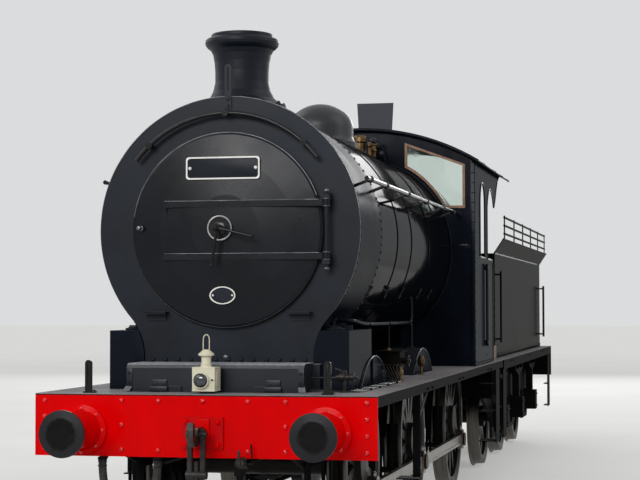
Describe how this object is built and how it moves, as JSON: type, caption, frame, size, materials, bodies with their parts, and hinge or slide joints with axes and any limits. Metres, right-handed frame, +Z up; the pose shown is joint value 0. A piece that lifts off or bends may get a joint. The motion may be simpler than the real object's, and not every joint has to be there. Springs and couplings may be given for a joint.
{
  "type": "steam locomotive with tender",
  "caption": "Inside-cylinder steam goods locomotive with coupled wheels, a round-topped boiler, an open-backed cab and a separate tender.",
  "frame": {"origin": "middle of the bounding box at the tips of the wheel flanges", "axes": "+Z up, +Y to the rear (the smokebox faces -Y), +X to the engine's right as seen from the front"},
  "size_m": [2.444, 15.76, 4.1245],
  "materials": {
    "boiler_paint": "gloss",
    "smokebox_paint": "matte",
    "frame_paint": "satin",
    "beam_red": "gloss",
    "bright_steel": "polished",
    "worn_steel": "rough",
    "brass": "polished",
    "cream_paint": "gloss",
    "hose_rubber": "matte",
    "window_glass": "clear",
    "floor_wood": "worn"
  },
  "bodies": {
    "engine": {"side_frames": "frame_paint", "drag_box": "frame_paint", "engine_steps": "frame_paint", "lamp_irons": "frame_paint", "front_buffer_beam": "beam_red", "running_plate": "frame_paint", "buffer_housings": "beam_red", "buffer_heads": "bright_steel", "front_drawhook": "worn_steel", "front_screw_coupling": "worn_steel", "front_brake_pipes": "frame_paint", "brake_hose": "hose_rubber", "cylinder_block": "frame_paint", "cylinder_cover": "smokebox_paint", "smokebox": "smokebox_paint", "smokebox_front": "smokebox_paint", "chimney": "smokebox_paint", "boiler": "boiler_paint", "firebox": "boiler_paint", "ashpan": "frame_paint", "dome": "boiler_paint", "safety_valves": "brass", "boiler_handrails": "bright_steel", "sandboxes": "boiler_paint", "splashers": "boiler_paint", "motion_plate": "frame_paint", "engine_axleboxes": "frame_paint", "engine_brake_gear": "frame_paint", "cab_front": "boiler_paint", "window_frames": "brass", "window_glass": "window_glass", "cab_sides": "boiler_paint", "cab_roof": "smokebox_paint", "cab_floor": "floor_wood", "backhead_fittings": "brass", "cab_handrails": "bright_steel", "front_lamp": "cream_paint", "lubricators": "frame_paint"},
    "driving_axle": {"driving_wheels": "frame_paint"},
    "leading_axle": {"leading_wheels": "frame_paint"},
    "trailing_axle": {"trailing_wheels": "frame_paint"},
    "right_rod": {"right_coupling_rod": "bright_steel"},
    "left_rod": {"left_coupling_rod": "bright_steel"},
    "door": {"smokebox_door": "smokebox_paint", "door_handles": "bright_steel"},
    "ventilator": {"roof_ventilator": "smokebox_paint"},
    "tender": {"drawbar": "worn_steel", "tender_frames": "frame_paint", "tender_beams": "frame_paint", "tender_footplate": "frame_paint", "tender_tank": "boiler_paint", "tender_coping": "boiler_paint", "tender_buffers": "worn_steel", "tender_axleboxes": "frame_paint", "tender_handrails": "bright_steel", "tender_brake_column": "frame_paint"},
    "water_lid": {"filler_lid": "boiler_paint"},
    "tender_leading_axle": {"tender_leading_wheels": "frame_paint"},
    "tender_middle_axle": {"tender_middle_wheels": "frame_paint"},
    "tender_trailing_axle": {"tender_trailing_wheels": "frame_paint"}
  },
  "joints": [
    {"name": "driving_axle_turn", "type": "hinge", "parent": "engine", "child": "driving_axle", "pos_m": [0, -3.36, 0.7305], "axis": [1, 0, 0], "continuous": true},
    {"name": "leading_axle_turn", "type": "hinge", "parent": "engine", "child": "leading_axle", "pos_m": [0, -5.8, 0.7305], "axis": [1, 0, 0], "continuous": true},
    {"name": "trailing_axle_turn", "type": "hinge", "parent": "engine", "child": "trailing_axle", "pos_m": [0, -0.62, 0.7305], "axis": [1, 0, 0], "continuous": true},
    {"name": "right_rod_pin", "type": "hinge", "parent": "driving_axle", "child": "right_rod", "pos_m": [0.862, -3.14433, 0.51483], "axis": [1, 0, 0], "continuous": true},
    {"name": "left_rod_pin", "type": "hinge", "parent": "driving_axle", "child": "left_rod", "pos_m": [-0.862, -3.14433, 0.94617], "axis": [1, 0, 0], "continuous": true},
    {"name": "smokebox_door_hinge", "type": "hinge", "parent": "engine", "child": "door", "pos_m": [0.75, -6.85, 2.5015], "axis": [0, 0, 1], "range_deg": [0, 150]},
    {"name": "roof_ventilator_hinge", "type": "hinge", "parent": "engine", "child": "ventilator", "pos_m": [0, -0.72, 3.8245], "axis": [1, 0, 0], "range_deg": [-86, 0]},
    {"name": "tender_coupling_turn", "type": "hinge", "parent": "engine", "child": "tender", "pos_m": [0, 0.12, 1.117], "axis": [0, 0, 1], "range_deg": [-4, 4]},
    {"name": "water_lid_hinge", "type": "hinge", "parent": "tender", "child": "water_lid", "pos_m": [0, 6.56, 2.726], "axis": [-1, 0, 0], "range_deg": [0, 110]},
    {"name": "tender_leading_axle_turn", "type": "hinge", "parent": "tender", "child": "tender_leading_axle", "pos_m": [0, 2.13, 0.6035], "axis": [1, 0, 0], "continuous": true},
    {"name": "tender_middle_axle_turn", "type": "hinge", "parent": "tender", "child": "tender_middle_axle", "pos_m": [0, 4.06, 0.6035], "axis": [1, 0, 0], "continuous": true},
    {"name": "tender_trailing_axle_turn", "type": "hinge", "parent": "tender", "child": "tender_trailing_axle", "pos_m": [0, 5.99, 0.6035], "axis": [1, 0, 0], "continuous": true}
  ],
  "couplings": [
    {"joint": "leading_axle_turn", "follows": "driving_axle_turn", "ratio": 1},
    {"joint": "trailing_axle_turn", "follows": "driving_axle_turn", "ratio": 1},
    {"joint": "right_rod_pin", "follows": "driving_axle_turn", "ratio": -1},
    {"joint": "left_rod_pin", "follows": "driving_axle_turn", "ratio": -1}
  ]
}
